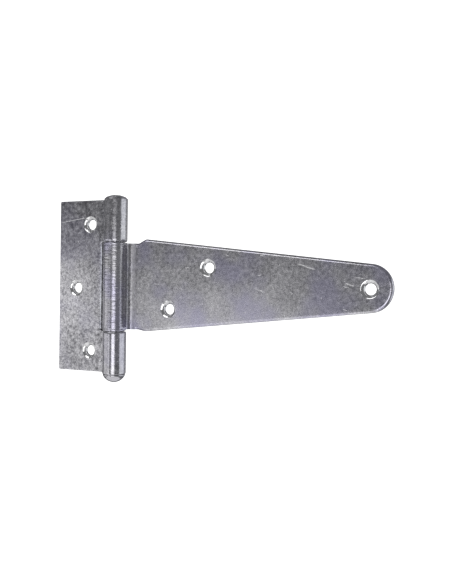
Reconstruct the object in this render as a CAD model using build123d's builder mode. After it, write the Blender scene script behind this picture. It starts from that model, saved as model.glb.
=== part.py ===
"""A T hinge of the 6 inch class: a jamb leaf, a tapered strap leaf and a riveted pin.

The pin stands on the Z axis, the strap points along +X, and the countersunk faces look towards -Y.
The origin is on the pin's axis, half way up the jamb leaf. All sizes are in millimetres.
"""

import os
from math import atan2, cos, degrees, isclose, radians, sin, sqrt, tan

from build123d import *

os.makedirs("parts", exist_ok=True)

# Sheet and pin
sheet = 2.6
pin_radius = 3.75
pin_clearance = 0.05
bend_radius = 4.0
roll_end_angle = 50.0
knuckle_gap = 0.3
knuckle_rounding = 0.5

# Jamb leaf
jamb_height = 95.5
jamb_reach = 40.9
jamb_corner_radius = 0.8
jamb_edge_rounding = 0.6
notch_reach = 13.0
notch_corner_radius = 1.5
jamb_screws = [(-19.7, 34.2), (-28.9, -1.2), (-19.7, -36.1)]

# Strap leaf
strap_reach = 152.4
strap_line_z = 0.7
strap_taper = 6.05
tip_radius = 11.7
neck_half_width = 23.35
shoulder_start = 12.0
shoulder_end = 16.5
shoulder_radius = 3.0
strap_edge_rounding = 1.5
strap_screws = [(55.0, 10.2), (31.4, -11.9), (141.2, 0.3)]

# Middle knuckle, which belongs to the strap
seam_high = 24.0
seam_low = -24.5

# Screw holes
screw_hole_radius = 2.8
countersink_radius = 4.6
countersink_angle = 90

# Pin ends
head_radius = 6.0
head_rim = 0.6
head_dome = 3.8
rivet_radius = 5.6
rivet_rim = 0.5
rivet_dome = 1.35
end_clearance = 0.05

# Derived
bore_radius = pin_radius + pin_clearance
barrel_radius = bore_radius + sheet
front_y = barrel_radius - sheet
bend_y = front_y - bend_radius
bend_x = sqrt((barrel_radius + bend_radius) ** 2 - bend_y**2)
tangent_angle = degrees(atan2(bend_y, bend_x))
jamb_top = jamb_height / 2
jamb_bottom = -jamb_height / 2
jamb_knuckles = [(jamb_bottom, seam_low - knuckle_gap / 2), (seam_high + knuckle_gap / 2, jamb_top)]
strap_knuckle = (seam_low + knuckle_gap / 2, seam_high - knuckle_gap / 2)

back_plane = Plane.XZ.offset(-barrel_radius)
front_plane = Plane.XZ.offset(-front_y)


def on_circle(center, radius, angle):
    """The point of a circle at an angle in degrees."""
    return (center[0] + radius * cos(radians(angle)), center[1] + radius * sin(radians(angle)))


def curved_strip(center, inner, outer, start, sweep, level):
    """The section of sheet that follows an arc, drawn at one height."""
    with BuildSketch(Plane.XY.offset(level)) as section:
        with BuildLine():
            CenterArc(center, inner, start, sweep)
            CenterArc(center, outer, start, sweep)
            Line(on_circle(center, inner, start), on_circle(center, outer, start))
            Line(on_circle(center, inner, start + sweep), on_circle(center, outer, start + sweep))
        make_face()
    return section.sketch


def roll(side, level):
    """The knuckle's section: it leaves the bend, passes over the front and ends at the back."""
    sweep = 360 - (roll_end_angle - tangent_angle)
    section = curved_strip((0, 0), bore_radius, barrel_radius, roll_end_angle, sweep, level)
    return section if side > 0 else section.mirror(Plane.YZ)


def bend(side, level):
    """The section of the bend that lifts the sheet out of the leaf's plane onto the barrel."""
    sweep = 90 + tangent_angle
    section = curved_strip((bend_x, bend_y), bend_radius, bend_radius + sheet, 90, sweep, level)
    return section if side > 0 else section.mirror(Plane.YZ)


def cap_radius(half_width, height):
    """The radius of the arc that rises to a height over a half width."""
    return (half_width**2 + height**2) / (2 * height)


def round_knuckle_ends():
    """Soften the outer rims of the knuckles in the open part."""
    rims = edges().filter_by(GeomType.CIRCLE).filter_by(lambda e: isclose(e.radius, barrel_radius))
    fillet(rims, knuckle_rounding)


def drill_screw_holes(screws):
    """Countersunk screw holes in the open part, entered from the leaf's front face."""
    with Locations(front_plane):
        with Locations(*screws):
            CounterSinkHole(screw_hole_radius, countersink_radius, sheet, countersink_angle)


# Jamb leaf: a plate with a notch for the middle knuckle, and the two outer knuckles
with BuildPart() as jamb_leaf:
    with BuildSketch(back_plane):
        with Locations((-jamb_reach, 0)):
            Rectangle(jamb_reach - bend_x, jamb_height, align=(Align.MIN, Align.CENTER))
        with Locations((-notch_reach, (seam_high + seam_low) / 2)):
            Rectangle(
                notch_reach,
                seam_high - seam_low + knuckle_gap,
                align=(Align.MIN, Align.CENTER),
                mode=Mode.SUBTRACT,
            )
        fillet(vertices().group_by(Axis.X)[0], jamb_corner_radius)
        notch_corners = vertices().filter_by(lambda v: abs(v.X + notch_reach) < 0.01)
        fillet(notch_corners, notch_corner_radius)
    extrude(amount=sheet)
    outer_edges = edges().group_by(Axis.Y)[0].filter_by(lambda e: e.center().X < -notch_reach - 1)
    fillet(outer_edges, jamb_edge_rounding)
    drill_screw_holes(jamb_screws)
    for low, high in jamb_knuckles:
        extrude(roll(-1, low), amount=high - low, dir=(0, 0, 1))
        extrude(bend(-1, low), amount=high - low, dir=(0, 0, 1))
    round_knuckle_ends()
jamb_leaf.part.label = "jamb_leaf"

# Strap leaf: a tapered plate on a narrower neck, and the middle knuckle
tip_center = (strap_reach - tip_radius, strap_line_z)
tangent_high = on_circle(tip_center, tip_radius, 90 - strap_taper)
tangent_low = on_circle(tip_center, tip_radius, strap_taper - 90)
shoulder_rise = (tangent_high[0] - shoulder_end) * tan(radians(strap_taper))
with BuildPart() as strap_leaf:
    with BuildSketch(back_plane):
        with BuildLine():
            Polyline(
                tangent_high,
                (shoulder_end, tangent_high[1] + shoulder_rise),
                (shoulder_start, neck_half_width),
                (bend_x, neck_half_width),
                (bend_x, -neck_half_width),
                (shoulder_start, -neck_half_width),
                (shoulder_end, tangent_low[1] - shoulder_rise),
                tangent_low,
            )
            CenterArc(tip_center, tip_radius, strap_taper - 90, 180 - 2 * strap_taper)
        make_face()
        shoulders = vertices().filter_by(lambda v: shoulder_start - 1 < v.X < shoulder_end + 1)
        fillet(shoulders, shoulder_radius)
    extrude(amount=sheet)
    outer_edges = edges().group_by(Axis.Y)[0].filter_by(lambda e: e.center().X > shoulder_start - 1)
    fillet(outer_edges, strap_edge_rounding)
    drill_screw_holes(strap_screws)
    extrude(roll(1, strap_knuckle[0]), amount=strap_knuckle[1] - strap_knuckle[0], dir=(0, 0, 1))
    extrude(bend(1, -neck_half_width), amount=2 * neck_half_width, dir=(0, 0, 1))
    round_knuckle_ends()
strap_leaf.part.label = "strap_leaf"

# Pin: a shank with a domed head at the bottom and a low riveted end at the top
head_base = jamb_bottom - end_clearance
rivet_base = jamb_top + end_clearance
with BuildPart() as hinge_pin:
    with BuildSketch(Plane.XZ):
        with BuildLine():
            Polyline(
                (0, head_base - head_rim - head_dome),
                (0, rivet_base + rivet_rim + rivet_dome),
            )
            RadiusArc(
                (0, rivet_base + rivet_rim + rivet_dome),
                (rivet_radius, rivet_base + rivet_rim),
                cap_radius(rivet_radius, rivet_dome),
            )
            Polyline(
                (rivet_radius, rivet_base + rivet_rim),
                (rivet_radius, rivet_base),
                (pin_radius, rivet_base),
                (pin_radius, head_base),
                (head_radius, head_base),
                (head_radius, head_base - head_rim),
            )
            RadiusArc(
                (head_radius, head_base - head_rim),
                (0, head_base - head_rim - head_dome),
                cap_radius(head_radius, head_dome),
            )
        make_face()
    revolve(axis=Axis.Z)
hinge_pin.part.label = "hinge_pin"

for piece in (jamb_leaf, strap_leaf, hinge_pin):
    export_step(piece.part, f"parts/{piece.part.label}.step")
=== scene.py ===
"""The looks of a zinc plated T hinge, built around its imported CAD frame. Lengths are in metres."""

import math

import bmesh
import bpy
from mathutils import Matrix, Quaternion, Vector, noise


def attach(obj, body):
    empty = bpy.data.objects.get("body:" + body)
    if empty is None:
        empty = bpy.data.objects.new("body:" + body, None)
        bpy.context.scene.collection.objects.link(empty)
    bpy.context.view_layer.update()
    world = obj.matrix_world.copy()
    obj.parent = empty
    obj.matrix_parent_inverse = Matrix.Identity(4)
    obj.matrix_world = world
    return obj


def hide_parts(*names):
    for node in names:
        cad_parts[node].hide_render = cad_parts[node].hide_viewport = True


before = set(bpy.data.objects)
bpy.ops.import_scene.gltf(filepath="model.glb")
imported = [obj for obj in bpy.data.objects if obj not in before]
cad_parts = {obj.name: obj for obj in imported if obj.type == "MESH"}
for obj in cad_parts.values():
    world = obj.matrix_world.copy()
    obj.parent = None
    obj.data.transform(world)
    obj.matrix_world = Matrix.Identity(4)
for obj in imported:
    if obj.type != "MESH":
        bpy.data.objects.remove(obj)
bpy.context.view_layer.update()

MM = 0.001

# Camera
VIEW_AZIMUTH = 26.9
VIEW_ELEVATION = 0.41
VIEW_ROLL = 0.81
CAMERA_PLACE = Vector((0.2507, -0.3607, 0.0008))
LENS = 49.3
SENSOR = 36.0

# Meshing: angles in degrees, lengths in metres
EDGE_ANGLE = 30.0
FLAT_ANGLE = 0.3
EDGE_WEAR = 0.12 * MM
CUT_SNAP = 0.001 * MM
JOIN = 0.02 * MM

# The leaves, in millimetres
SHEET = 2.6
BARREL_RADIUS = 6.4
BACK_Y = BARREL_RADIUS
FRONT_Y = BACK_Y - SHEET
JAMB_HALF = 47.75
SEAM_HIGH = 24.15
SEAM_LOW = -24.65
HALF_GAP = 0.15
BEND_X = 9.4
NOTCH_REACH = 13.0
NOTCH_CORNER = 1.5
NOTCH_HALF = 25.0
SHEAR = 1.1
SINK_RADIUS = 4.6
BELL_PROFILE = [  # radius and depth of each ring of a countersink
    (4.45, 0.04), (4.1, 0.22), (3.7, 0.45), (3.4, 0.66), (3.15, 1.0), (2.95, 1.4), (2.8, 1.9),
]
SCREWS = {  # X and Z of each screw hole
    "jamb_leaf": [(-19.7, 34.2), (-28.9, -1.2), (-19.7, -36.1)],
    "strap_leaf": [(55.0, 10.2), (31.4, -11.9), (141.2, 0.3)],
}
KNUCKLE_ENDS = {  # height of each end, and the way from it into the knuckle
    "jamb_leaf": [
        (JAMB_HALF, -1), (SEAM_HIGH + HALF_GAP, 1), (SEAM_LOW - HALF_GAP, -1), (-JAMB_HALF, 1),
    ],
    "strap_leaf": [(SEAM_HIGH - HALF_GAP, -1), (SEAM_LOW + HALF_GAP, 1)],
}
END_EASE_LENGTH = 1.2
END_EASE_DEPTH = 0.16
END_EASE_STEPS = (0.25, 0.5, 0.75, 1.0)
PRESSED_RINGS = {"jamb_leaf": (), "strap_leaf": (22.4, -22.9)}
RING_HALF_WIDTH = 0.45
RING_DEPTH = 0.12
RING_CUTS = (-1, -0.5, 0, 0.5, 1)

# How far off a size a vertex may lie and still belong to it, in millimetres
BARREL_SKIN = 0.7
BARREL_SLACK = 0.02
WALL_SLACK = 0.03
RIM_SLACK = 0.1
FACE_SLACK = 0.05

# The pin, in millimetres
PIN_RADIUS = 3.75
PIN_SIDES = 96
PIN_EASE = 0.25
EASE_BULGE = 0.3
PIN_PLAY = 0.05
HEAD_FACE = -JAMB_HALF - PIN_PLAY
HEAD_RADIUS = 6.0
HEAD_RIM = 0.6
HEAD_RISE = 3.8
HEAD_STEPS = 16
PEEN_FACE = JAMB_HALF + PIN_PLAY
PEEN_RADIUS = 5.6
PEEN_RIM = 0.5
PEEN_RISE = 1.35
PEEN_STEPS = 12
DENT_DEPTH = 0.25
DENT_SIZE = 1.6
DENT_SPREAD = 0.012

BODIES = {"jamb_leaf": "jamb", "hinge_pin": "jamb", "strap_leaf": "strap"}


# ---------------------------------------------------------------- geometry


def smooth_mesh(work, name):
    """Turn a finished bmesh into a smooth shaded mesh."""
    for face in work.faces:
        face.smooth = True
    mesh = bpy.data.meshes.new(name)
    work.to_mesh(mesh)
    work.free()
    return mesh


def barrel_depth(z, ends, rings):
    """How far the barrel's outer face is worn in at a height, in millimetres."""
    depth = 0.0
    for level, way in ends:
        t = (z - level) * way / END_EASE_LENGTH
        if -0.01 < t < 1.01:
            depth += END_EASE_DEPTH * (1 - t) ** 2
    for level in rings:
        depth += RING_DEPTH * max(0.0, 1 - abs(z - level) / RING_HALF_WIDTH)
    return depth


def shape_barrel(work, ends, rings):
    """Ease the ends of the knuckles and press the shallow rings."""
    heights = [level + way * END_EASE_LENGTH * t for level, way in ends for t in END_EASE_STEPS]
    heights += [level + RING_HALF_WIDTH * t for level in rings for t in RING_CUTS]
    for z in heights:
        geom = {f for f in work.faces if all(v.co.x < BARREL_RADIUS * MM for v in f.verts)}
        geom |= {part for f in geom for part in (*f.edges, *f.verts)}
        bmesh.ops.bisect_plane(work, geom=list(geom), plane_co=(0, 0, z * MM),
                               plane_no=(0, 0, 1), dist=CUT_SNAP)
    for vert in work.verts:
        radius = math.hypot(vert.co.x, vert.co.y) / MM
        if BARREL_RADIUS - BARREL_SKIN < radius < BARREL_RADIUS + BARREL_SLACK:
            vert.co.xy *= 1 - barrel_depth(vert.co.z / MM, ends, rings) / BARREL_RADIUS


def belled(work, screws):
    """Turn the straight countersinks into bell mouths, flatter at the face than at the hole."""
    for x, z in screws:
        centre = Vector((x * MM, 0, z * MM))

        def out(vert):
            """How far a vertex is from the screw's axis, in millimetres."""
            return (vert.co * Vector((1, 0, 1)) - centre).length / MM

        walls = [f for f in work.faces if all(out(v) < SINK_RADIUS + WALL_SLACK for v in f.verts)]
        bmesh.ops.delete(work, geom=walls, context="FACES")
        open_edges = [e for e in work.edges if e.is_boundary]
        rims = [e for e in open_edges if out(e.verts[0]) < SINK_RADIUS + RIM_SLACK]
        loop = [e for e in rims if e.verts[0].co.y < (FRONT_Y + RIM_SLACK) * MM]
        back = [e for e in rims if e not in loop]
        for radius, depth in BELL_PROFILE:
            made = bmesh.ops.extrude_edge_only(work, edges=loop)["geom"]
            loop = [part for part in made if isinstance(part, bmesh.types.BMEdge)]
            for vert in (part for part in made if isinstance(part, bmesh.types.BMVert)):
                ray = (vert.co * Vector((1, 0, 1)) - centre).normalized()
                vert.co = centre + ray * radius * MM + Vector((0, (FRONT_Y + depth) * MM, 0))
        bmesh.ops.bridge_loops(work, edges=loop + back)
    bmesh.ops.recalc_face_normals(work, faces=work.faces)


def sheared(work):
    """Lean the notch's inner wall, the way a blanking die leaves a sheared edge."""
    for vert in work.verts:
        x, y, z = vert.co / MM
        inside = (x + NOTCH_REACH) / NOTCH_CORNER
        if y > BACK_Y - FACE_SLACK and -0.01 < inside < 1 and abs(z) < NOTCH_HALF:
            vert.co.x += SHEAR * (1 - inside) * MM


def finished_mesh(node, name):
    """A watertight copy of a CAD leaf, its long hard edges broken by a fine bevel."""
    work = bmesh.new()
    work.from_mesh(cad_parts[node].data)
    bmesh.ops.remove_doubles(work, verts=work.verts, dist=JOIN)
    bmesh.ops.dissolve_limit(
        work, angle_limit=math.radians(FLAT_ANGLE), verts=work.verts, edges=work.edges
    )
    belled(work, SCREWS[node])
    if node == "jamb_leaf":
        sheared(work)
    sharp = [e for e in work.edges if len(e.link_faces) == 2
             and e.calc_face_angle() > math.radians(EDGE_ANGLE)
             and all(near.calc_length() > 2 * EDGE_WEAR for v in e.verts for near in v.link_edges)]
    bmesh.ops.bevel(
        work, geom=sharp, offset=EDGE_WEAR, segments=2, profile=0.5,
        affect="EDGES", clamp_overlap=True, miter_outer="ARC",
    )
    shape_barrel(work, KNUCKLE_ENDS[node], PRESSED_RINGS[node])
    return smooth_mesh(work, name)


def cap(radius, rise, level, steps):
    """Points of a round cap from its rim to just short of its top, as radius and height."""
    sphere = (radius ** 2 + rise ** 2) / (2 * rise)
    widest = math.asin(min(1.0, radius / sphere))
    if rise > radius:
        widest = math.pi - widest
    points = []
    for k in range(steps):
        angle = widest * (1 - k / steps)
        points.append((sphere * math.sin(angle), level + sphere * (math.cos(angle) - 1) + rise))
    return points


def pin_profile():
    """Radius and height of each ring of the pin, from its domed head up to its hammered head."""
    ease = PIN_EASE
    bulge = EASE_BULGE * ease
    head_rim = HEAD_FACE - HEAD_RIM
    lower = [(r, 2 * head_rim - z) for r, z in cap(HEAD_RADIUS, HEAD_RISE, head_rim, HEAD_STEPS)]
    upper = cap(PEEN_RADIUS, PEEN_RISE, PEEN_FACE + PEEN_RIM, PEEN_STEPS)
    return [
        *reversed(lower),
        (HEAD_RADIUS, HEAD_FACE - ease), (HEAD_RADIUS - bulge, HEAD_FACE - bulge),
        (HEAD_RADIUS - ease, HEAD_FACE), (PIN_RADIUS + ease, HEAD_FACE),
        (PIN_RADIUS, HEAD_FACE + ease), (PIN_RADIUS, PEEN_FACE - ease),
        (PIN_RADIUS + ease, PEEN_FACE), (PEEN_RADIUS - ease, PEEN_FACE),
        (PEEN_RADIUS - bulge, PEEN_FACE + bulge), (PEEN_RADIUS, PEEN_FACE + ease),
        *upper,
    ]


def rivet_pin(name):
    """The pin turned from its profile, with the dents of a hammer in its upper head."""
    work = bmesh.new()
    rings = []
    for radius, height in pin_profile():
        rings.append([
            work.verts.new((radius * MM * math.cos(a), radius * MM * math.sin(a), height * MM))
            for a in (math.tau * k / PIN_SIDES for k in range(PIN_SIDES))
        ])
    for low, high in zip(rings, rings[1:]):
        for k in range(PIN_SIDES):
            j = (k + 1) % PIN_SIDES
            work.faces.new((low[k], low[j], high[j], high[k]))
    bottom = work.verts.new((0, 0, (HEAD_FACE - HEAD_RIM - HEAD_RISE) * MM))
    top = work.verts.new((0, 0, (PEEN_FACE + PEEN_RIM + PEEN_RISE) * MM))
    for k in range(PIN_SIDES):
        j = (k + 1) % PIN_SIDES
        work.faces.new((rings[0][j], rings[0][k], bottom))
        work.faces.new((rings[-1][k], rings[-1][j], top))
    for vert in work.verts:
        if vert.co.z > (PEEN_FACE + PEEN_RIM) * MM:
            dent = 0.5 + 0.5 * noise.noise(vert.co / (DENT_SIZE * MM))
            vert.co.z -= DENT_DEPTH * MM * dent
            vert.co.xy *= 1 - DENT_SPREAD * dent
    return smooth_mesh(work, name)


def finished_piece(node):
    """The shown piece of a CAD node, riding on the node's body."""
    name = node + "_finished"
    mesh = rivet_pin(name) if node == "hinge_pin" else finished_mesh(node, name)
    piece = bpy.data.objects.new(name, mesh)
    bpy.context.scene.collection.objects.link(piece)
    normals = piece.modifiers.new("normals", "WEIGHTED_NORMAL")
    normals.keep_sharp = True
    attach(piece, BODIES[node])
    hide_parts(node)
    return piece


pieces = {node: finished_piece(node) for node in BODIES}


# ---------------------------------------------------------------- materials

# Colours of the plating
ZINC_DARK = (0.26, 0.256, 0.275, 1)
ZINC_PALE = (0.86, 0.85, 0.88, 1)
VIOLET_FILM = (0.50, 0.48, 0.66, 1)
BARE_METAL = (0.97, 0.97, 0.97, 1)
# painted shade, mixed in along the concave bend where shade falls
CREASE_SHADE_GREY = (0.25, 0.25, 0.27, 1)
CUT_STEEL = (0.80, 0.80, 0.80, 1)

# Sizes of the plating's patterns, in millimetres
BARREL_MARGIN = 0.4
GRAIN_STEP = 2.6  # medium grain to fine grain, as a ratio
GRAIN_DEPTH = 0.06  # relief for each millimetre of grain
CLOUD_SIZE = 11.0
TINT_SIZE = 22.0
TINT_STEP = (0.42, 0.66)  # of the noise, where the violet film comes in
PIT_CELL = 3.0
PIT_STEP = (0.07, 0.14)  # of the cell, where a pit fades out
PIT_CHOICE = (0.56, 0.58)  # of the cell's random value, above which it has a pit
WOUND_DEPTH = 0.05
SCRATCH_TAPER = 1.5
RIDGE_SIZE = (7.0, 1.1)
# where the bend's painted shade fades out, in millimetres from the bend
CREASE_SHADE_FADE = (0.3, 1.6)
CUTTER_RINGS = 14.0  # radians of ripple for each millimetre outwards
CUTTER_DEPTH = 0.022
CHATTER_WAVES = (7, 9, 8)
FAR_AWAY = 1000.0


class Nodes:
    """Short calls that add and join the nodes of one material."""

    def __init__(self, name):
        self.material = bpy.data.materials.new(name)
        self.material.use_nodes = True
        self.tree = self.material.node_tree
        self.tree.nodes.clear()
        self.shader = self.add("ShaderNodeBsdfPrincipled")
        output = self.add("ShaderNodeOutputMaterial")
        self.join(self.shader.outputs["BSDF"], output.inputs["Surface"])
        place = self.add("ShaderNodeTexCoord")
        self.place = self.vector("SCALE", place.outputs["Object"], scale=1 / MM)

    def add(self, kind, **settings):
        node = self.tree.nodes.new(kind)
        for key, value in settings.items():
            setattr(node, key, value)
        return node

    def join(self, source, target):
        self.tree.links.new(source, target)

    def fill(self, socket, value):
        if isinstance(value, bpy.types.NodeSocket):
            self.join(value, socket)
        else:
            socket.default_value = value

    def math(self, operation, a, b=0.0, c=0.0, clamp=False):
        node = self.add("ShaderNodeMath", operation=operation, use_clamp=clamp)
        for socket, value in zip(node.inputs, (a, b, c)):
            self.fill(socket, value)
        return node.outputs[0]

    def vector(self, operation, a, b=(0, 0, 0), scale=1.0):
        node = self.add("ShaderNodeVectorMath", operation=operation)
        self.fill(node.inputs[0], a)
        self.fill(node.inputs[1], b)
        self.fill(node.inputs[3], scale)
        return node.outputs["Value" if operation in ("DOT_PRODUCT", "LENGTH") else "Vector"]

    def stretch(self, size, shift=(0, 0, 0)):
        """The place in millimetres, divided by a size and shifted."""
        node = self.add("ShaderNodeMapping", vector_type="POINT")
        self.join(self.place, node.inputs["Vector"])
        node.inputs["Scale"].default_value = (1 / size,) * 3
        node.inputs["Location"].default_value = shift
        return node.outputs["Vector"]

    def noise(self, size, detail=2.0, rough=0.5, shift=(0, 0, 0)):
        node = self.add("ShaderNodeTexNoise")
        self.join(self.stretch(size, shift), node.inputs["Vector"])
        node.inputs["Scale"].default_value = 1.0
        node.inputs["Detail"].default_value = detail
        node.inputs["Roughness"].default_value = rough
        return node.outputs["Fac"]

    def cells(self, size, output="Distance"):
        node = self.add("ShaderNodeTexVoronoi")
        self.join(self.stretch(size), node.inputs["Vector"])
        node.inputs["Scale"].default_value = 1.0
        return node.outputs[output]

    def parts(self, vector):
        """The X, Y and Z of a vector."""
        node = self.add("ShaderNodeSeparateXYZ")
        self.join(vector, node.inputs[0])
        return node.outputs

    def pair(self, x, y):
        """A vector from its X and Y."""
        node = self.add("ShaderNodeCombineXYZ")
        self.join(x, node.inputs["X"])
        self.join(y, node.inputs["Y"])
        return node.outputs[0]

    def between(self, value, low, high, to_low=0.0, to_high=1.0):
        """A smooth step from to_low to to_high as the value goes from low to high."""
        node = self.add("ShaderNodeMapRange", interpolation_type="SMOOTHSTEP")
        self.fill(node.inputs["Value"], value)
        self.fill(node.inputs["From Min"], low)
        self.fill(node.inputs["From Max"], high)
        self.fill(node.inputs["To Min"], to_low)
        self.fill(node.inputs["To Max"], to_high)
        return node.outputs["Result"]

    def mix(self, amount, a, b):
        node = self.add("ShaderNodeMix", data_type="RGBA")
        factor, first, second = (node.inputs[i] for i in (0, 6, 7))
        self.fill(factor, amount)
        self.fill(first, a)
        self.fill(second, b)
        return node.outputs[2]

    def bump(self, height, strength, depth, under=None):
        node = self.add("ShaderNodeBump")
        node.inputs["Strength"].default_value = strength
        node.inputs["Distance"].default_value = depth
        self.join(height, node.inputs["Height"])
        if under is not None:
            self.join(under, node.inputs["Normal"])
        return node.outputs["Normal"]


def unrolled(n):
    """The sheet laid flat: arc length round the barrel (or X on a leaf) and height, and where
    the barrel is."""
    x, y, z = n.parts(n.place)
    radius = n.math("SQRT", n.math("ADD", n.math("MULTIPLY", x, x), n.math("MULTIPLY", y, y)))
    on_barrel = n.math("LESS_THAN", radius, BARREL_RADIUS + BARREL_MARGIN)
    arc = n.math("MULTIPLY", n.math("ARCTAN2", x, n.math("MULTIPLY", y, -1.0)), BARREL_RADIUS)
    run = n.math("ADD", n.math("MULTIPLY", on_barrel, arc),
                 n.math("MULTIPLY", n.math("SUBTRACT", 1.0, on_barrel), x))
    return n.pair(run, z), on_barrel


def nicks(n, sheet, cell, reach, width, share, shift):
    """Short straight scratches in every direction, at most one to a cell of the sheet."""
    shifted = n.vector("ADD", sheet, shift)
    grid = n.add("ShaderNodeTexVoronoi", voronoi_dimensions="2D")
    n.join(n.vector("SCALE", shifted, scale=1 / cell), grid.inputs["Vector"])
    grid.inputs["Scale"].default_value = 1.0
    centre = n.vector("SCALE", grid.outputs["Position"], scale=cell)
    offset = n.vector("SUBTRACT", shifted, centre)
    chance = n.add("ShaderNodeSeparateColor")
    n.join(grid.outputs["Color"], chance.inputs[0])
    angle = n.math("MULTIPLY", chance.outputs[0], math.pi)
    cosine, sine = n.math("COSINE", angle), n.math("SINE", angle)
    along, across = n.pair(cosine, sine), n.pair(n.math("MULTIPLY", sine, -1.0), cosine)
    run = n.math("ABSOLUTE", n.vector("DOT_PRODUCT", offset, along))
    off = n.math("ABSOLUTE", n.vector("DOT_PRODUCT", offset, across))
    length = n.math("MULTIPLY", chance.outputs[1], reach)
    shape = n.math("MULTIPLY", n.between(off, width * 0.4, width, 1, 0),
                   n.between(run, n.math("MULTIPLY", length, 0.6), length, 1, 0))
    return n.math("MULTIPLY", shape, n.math("GREATER_THAN", chance.outputs[2], 1 - share))


def scratch(n, start, end, width):
    """A single scratch from start to end, in millimetres of X and Z, at any depth in Y."""
    (x0, z0), (x1, z1) = start, end
    length = math.hypot(x1 - x0, z1 - z0)
    along = ((x1 - x0) / length, 0, (z1 - z0) / length)
    across = (-along[2], 0, along[0])
    from_start = n.vector("SUBTRACT", n.place, (x0, 0, z0))
    run = n.vector("DOT_PRODUCT", from_start, along)
    off = n.math("ABSOLUTE", n.vector("DOT_PRODUCT", from_start, across))
    begun = n.between(run, 0, SCRATCH_TAPER)
    inside = n.math("MULTIPLY", begun, n.between(run, length - SCRATCH_TAPER, length, 1, 0))
    return n.math("MULTIPLY", inside, n.between(off, width * 0.3, width, 1, 0))


def mottle(n, grain_size, grain, cloud, hue, on_barrel):
    """The plating's clouded colour, and the fine and medium grain that it shares with the relief."""
    fine = n.noise(grain_size, detail=2.0, rough=0.6)
    medium = n.noise(grain_size * GRAIN_STEP, detail=3.0, rough=0.55, shift=(7.0, 1.0, 4.0))
    broad = n.noise(CLOUD_SIZE, detail=3.0, rough=0.5)
    tint = n.noise(TINT_SIZE, detail=2.0, shift=(3.1, 1.7, 5.2))
    bright = n.math("ADD", n.math("MULTIPLY", n.math("SUBTRACT", fine, 0.5), grain),
                    n.math("MULTIPLY", n.math("SUBTRACT", medium, 0.5), grain * 0.8))
    bright = n.math("ADD", bright, n.math("MULTIPLY", n.math("SUBTRACT", broad, 0.5), cloud))
    calm = n.math("MULTIPLY_ADD", on_barrel, -0.5, 1.0)
    bright = n.math("MULTIPLY_ADD", bright, calm, 0.5, clamp=True)
    base = n.mix(bright, ZINC_DARK, ZINC_PALE)
    base = n.mix(n.between(tint, *TINT_STEP, 0.0, hue), base, VIOLET_FILM)
    return base, fine, medium


def damage(n, sheet, marks):
    """Where the plating is pitted, nicked or scratched."""
    specks = n.between(n.cells(PIT_CELL), *PIT_STEP, 1, 0)
    pits = n.math("MULTIPLY", specks, n.between(n.cells(PIT_CELL, "Color"), *PIT_CHOICE))
    lines = nicks(n, sheet, cell=9.0, reach=1.6, width=0.2, share=0.35, shift=(13.7, 7.9, 0))
    longer = nicks(n, sheet, cell=19.0, reach=4.5, width=0.13, share=0.35, shift=(27.4, 15.8, 0))
    lines = n.math("MAXIMUM", lines, longer)
    for start, end, width in marks:
        lines = n.math("MAXIMUM", lines, scratch(n, start, end, width))
    return n.math("MAXIMUM", lines, pits)


def ridged(n, sheet, on_barrel, height, normal):
    """Faint ridges that the roll leaves round the barrel."""
    ripple = n.add("ShaderNodeTexNoise", noise_dimensions="2D")
    length, pitch = RIDGE_SIZE
    n.join(n.vector("MULTIPLY", sheet, (1 / length, 1 / pitch, 0)), ripple.inputs["Vector"])
    ripple.inputs["Scale"].default_value = 1.0
    ripple.inputs["Detail"].default_value = 2.0
    pressed = n.math("MULTIPLY", ripple.outputs["Fac"], on_barrel)
    return n.bump(pressed, 1.0, height * MM, normal)


def shaded_crease(n, place_x, base, roughness):
    """Painted shade along the bend: the plating's colour is darkened towards grey where shade falls
    in the concave bend, and its roughness is raised so it looks duller.
    """
    away = n.math("ABSOLUTE", n.math("SUBTRACT", place_x, BEND_X))
    near = n.between(away, *CREASE_SHADE_FADE, 1, 0)
    base = n.mix(n.math("MULTIPLY", near, 0.12), base, CREASE_SHADE_GREY)
    return base, n.math("MULTIPLY_ADD", near, 0.3, roughness, clamp=True)


def cutter_marks(n, screws):
    """How far the place is from the nearest screw's axis, and the chatter of the cutter."""
    nearest, chatter = FAR_AWAY, 0.0
    for k, (x, z) in enumerate(screws):
        offset = n.vector("MULTIPLY", n.vector("SUBTRACT", n.place, (x, 0, z)), (1, 0, 1))
        distance = n.vector("LENGTH", offset)
        across, _, up = n.parts(offset)
        angle = n.math("ARCTAN2", up, across)
        wave = n.math("SINE", n.math("MULTIPLY_ADD", angle, CHATTER_WAVES[k], 1.3 * k))
        here = n.math("LESS_THAN", distance, SINK_RADIUS + 1.0)
        chatter = n.math("ADD", chatter, n.math("MULTIPLY", wave, here))
        nearest = n.math("MINIMUM", nearest, distance)
    return nearest, chatter


def countersunk(n, place_y, screws, base, roughness, normal):
    """Bright turned metal inside the countersinks, but not on the leaf's back."""
    distance, chatter = cutter_marks(n, screws)
    cut = n.between(distance, SINK_RADIUS - 0.1, SINK_RADIUS + 0.25, 1, 0)
    cut = n.math("MULTIPLY", cut, n.math("LESS_THAN", place_y, BACK_Y - FACE_SLACK))
    rings = n.math("SINE", n.math("MULTIPLY", distance, CUTTER_RINGS))
    base = n.mix(n.math("MULTIPLY", cut, 0.8), base, CUT_STEEL)
    roughness = n.math("MULTIPLY", roughness, n.math("MULTIPLY_ADD", cut, -0.5, 1.0))
    machined = n.math("MULTIPLY_ADD", rings, 0.15, chatter)
    normal = n.bump(n.math("MULTIPLY", machined, cut), 1.0, CUTTER_DEPTH * MM, normal)
    return base, roughness, normal


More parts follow.
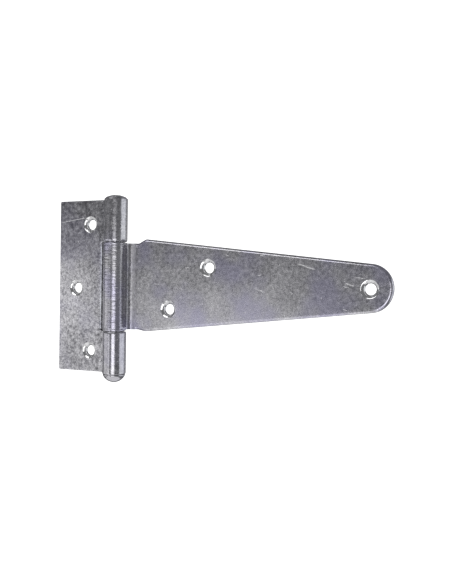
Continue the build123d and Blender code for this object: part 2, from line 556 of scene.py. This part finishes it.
def zinc(name, grain_size, grain, cloud, hue, rough, screws=(), marks=(), bend_shade=False, ridges=0.0):
    """Bright zinc plate: bluish grey, mottled, finely speckled, scratched and pitted, with painted
    shade darkening the bend where asked.
    """
    n = Nodes(name)
    sheet, on_barrel = unrolled(n)
    place_x, place_y, _ = n.parts(n.place)
    base, fine, medium = mottle(n, grain_size, grain, cloud, hue, on_barrel)
    wounds = damage(n, sheet, marks)
    base = n.mix(n.math("MULTIPLY", wounds, 0.6), base, BARE_METAL)

    roughness = n.math("MULTIPLY_ADD", n.math("SUBTRACT", medium, 0.5), 0.25, rough)
    roughness = n.math("MULTIPLY_ADD", wounds, 0.15, roughness, clamp=True)
    relief = n.math("ADD", n.math("MULTIPLY", fine, 0.5), n.math("MULTIPLY", medium, 0.5))
    relief = n.math("MULTIPLY", relief, n.math("MULTIPLY_ADD", on_barrel, -0.8, 1.0))
    normal = n.bump(relief, 0.5, GRAIN_DEPTH * grain_size * MM)
    normal = n.bump(n.math("MULTIPLY", wounds, -1.0), 0.6, WOUND_DEPTH * MM, normal)
    if ridges:
        normal = ridged(n, sheet, on_barrel, ridges, normal)
    # painted shade: the plating is darkened along the concave bend
    if bend_shade:
        base, roughness = shaded_crease(n, place_x, base, roughness)
    if screws:
        base, roughness, normal = countersunk(n, place_y, screws, base, roughness, normal)

    n.join(base, n.shader.inputs["Base Color"])
    n.join(roughness, n.shader.inputs["Roughness"])
    n.shader.inputs["Metallic"].default_value = 1.0
    n.join(normal, n.shader.inputs["Normal"])
    return n.material


# Single scratches: X and Z of both ends, and the width, in millimetres
JAMB_MARKS = [((-40.5, 35.6), (-23.0, 38.0), 0.28)]
STRAP_MARKS = [
    ((41.0, 9.8), (44.6, 10.6), 0.3),
    ((82.6, 6.2), (85.9, 6.7), 0.3),
    ((104.4, 12.2), (110.5, 10.6), 0.4),
    ((107.5, 11.2), (114.5, 9.3), 0.35),
    ((128.7, 3.2), (134.1, 1.3), 0.4),
    ((133.6, 6.0), (139.4, 5.1), 0.3),
    ((37.4, -6.3), (39.8, -5.2), 0.25),
    ((22.5, 1.5), (26.3, 1.25), 0.25),
]
PLATING = {
    "jamb_leaf": zinc(
        "zinc_jamb", grain_size=0.85, grain=2.2, cloud=0.7, hue=0.25, rough=0.2,
        screws=SCREWS["jamb_leaf"], marks=JAMB_MARKS,
    ),
    "strap_leaf": zinc(
        "zinc_strap", grain_size=0.75, grain=1.4, cloud=0.6, hue=0.6, rough=0.25,
        # the strap gets painted shade along its bend
        screws=SCREWS["strap_leaf"], marks=STRAP_MARKS, bend_shade=True, ridges=0.16,
    ),
    "hinge_pin": zinc("zinc_pin", grain_size=0.9, grain=0.8, cloud=0.6, hue=0.2, rough=0.2),
}
for node, material in PLATING.items():
    pieces[node].data.materials.append(material)


# ---------------------------------------------------------------- stage, lights and camera

FLOOR_DROP = 0.30
BOWL_RADIUS = 1.6
BOWL_CORNER = 0.5
BOWL_HEIGHT = 1.4
BOWL_SIDES = 96
CORNER_STEPS = 15
PAPER_WHITE = (0.9, 0.9, 0.9, 1)
PAPER_GLOW = 1.1
PANEL_DISTANCE = 0.75
COOL_WHITE = (0.95, 0.98, 1.0)
ROOM_GREY = (0.96, 0.97, 1.0, 1)
CLIP_NEAR = 0.01
CLIP_FAR = 20


def backdrop():
    """A pale floor that curves up into a round wall, seen by the camera alone."""
    corner = [
        (BOWL_RADIUS - BOWL_CORNER * (1 - math.sin(a)), BOWL_CORNER * (1 - math.cos(a)))
        for a in (math.radians(90 * k / CORNER_STEPS) for k in range(CORNER_STEPS + 1))
    ]
    profile = [(0.0, 0.0), *corner, (BOWL_RADIUS, BOWL_HEIGHT)]
    work = bmesh.new()
    line = [work.verts.new((r, 0, z - FLOOR_DROP)) for r, z in profile]
    edges = [work.edges.new(pair) for pair in zip(line, line[1:])]
    bmesh.ops.spin(work, geom=line + edges, angle=math.tau, steps=BOWL_SIDES, axis=(0, 0, 1),
                   cent=(0, 0, 0))
    bmesh.ops.remove_doubles(work, verts=work.verts, dist=0.1 * MM)
    bowl = bpy.data.objects.new("backdrop", smooth_mesh(work, "backdrop"))
    bpy.context.scene.collection.objects.link(bowl)
    for ray in ("diffuse", "glossy", "transmission", "shadow"):
        setattr(bowl, "visible_" + ray, False)
    paper = bpy.data.materials.new("pale_paper")
    paper.use_nodes = True
    shader = paper.node_tree.nodes["Principled BSDF"]
    shader.inputs["Base Color"].default_value = PAPER_WHITE
    shader.inputs["Roughness"].default_value = 1.0
    shader.inputs["Emission Color"].default_value = (1, 1, 1, 1)
    shader.inputs["Emission Strength"].default_value = PAPER_GLOW
    bowl.data.materials.append(paper)


def direction(azimuth, elevation):
    """The way from the hinge towards an azimuth, 0 at the front and 90 at the strap's tip."""
    a, e = math.radians(azimuth), math.radians(elevation)
    return Vector((math.sin(a) * math.cos(e), -math.cos(a) * math.cos(e), math.sin(e)))


def panel(name, azimuth, elevation, spread, radiance, color=(1, 1, 1)):
    """A soft rectangular light facing the hinge. Spread is its width and height in degrees,
    and radiance is the brightness a mirror would show."""
    width, height = (2 * PANEL_DISTANCE * math.tan(math.radians(a / 2)) for a in spread)
    light = bpy.data.lights.new(name, "AREA")
    light.shape = "RECTANGLE"
    light.size, light.size_y = width, height
    light.energy = radiance * math.pi * width * height
    light.color = color
    lamp = bpy.data.objects.new(name, light)
    bpy.context.scene.collection.objects.link(lamp)
    lamp.location = direction(azimuth, elevation) * PANEL_DISTANCE
    lamp.rotation_mode = "QUATERNION"
    lamp.rotation_quaternion = direction(azimuth, elevation).to_track_quat("Z", "Y")
    lamp.visible_camera = False


def ambient(strength):
    """A grey room all round."""
    world = bpy.data.worlds.new("room")
    world.use_nodes = True
    bpy.context.scene.world = world
    sky = world.node_tree.nodes["Background"]
    sky.inputs["Color"].default_value = ROOM_GREY
    sky.inputs["Strength"].default_value = strength


backdrop()
ambient(0.20)
panel("horizon_left", -60, -1, (46, 8), 0.9)
panel("front_low_left", -60, -25, (46, 40), 0.52)
panel("front_low", -23, -22, (20, 40), 0.87)
panel("stripe", 21, -21, (30, 50), 1.6)
panel("right_side", 115, -4, (58, 52), 0.78, color=COOL_WHITE)
panel("back_right", 166, -8, (24, 50), 0.25)
panel("overhead", -22, 38, (36, 26), 1.7)
panel("under", -60, -84, (74, 74), 0.7)

camera_data = bpy.data.cameras.new("camera")
camera_data.lens = LENS
camera_data.sensor_width = SENSOR
camera_data.clip_start = CLIP_NEAR
camera_data.clip_end = CLIP_FAR
camera = bpy.data.objects.new("camera", camera_data)
bpy.context.scene.collection.objects.link(camera)
camera.location = CAMERA_PLACE
camera.rotation_mode = "QUATERNION"
back = direction(VIEW_AZIMUTH, VIEW_ELEVATION)
roll = Quaternion((0, 0, 1), math.radians(VIEW_ROLL))
camera.rotation_quaternion = back.to_track_quat("Z", "Y") @ roll
bpy.context.scene.camera = camera
bpy.context.scene.view_settings.view_transform = "Standard"
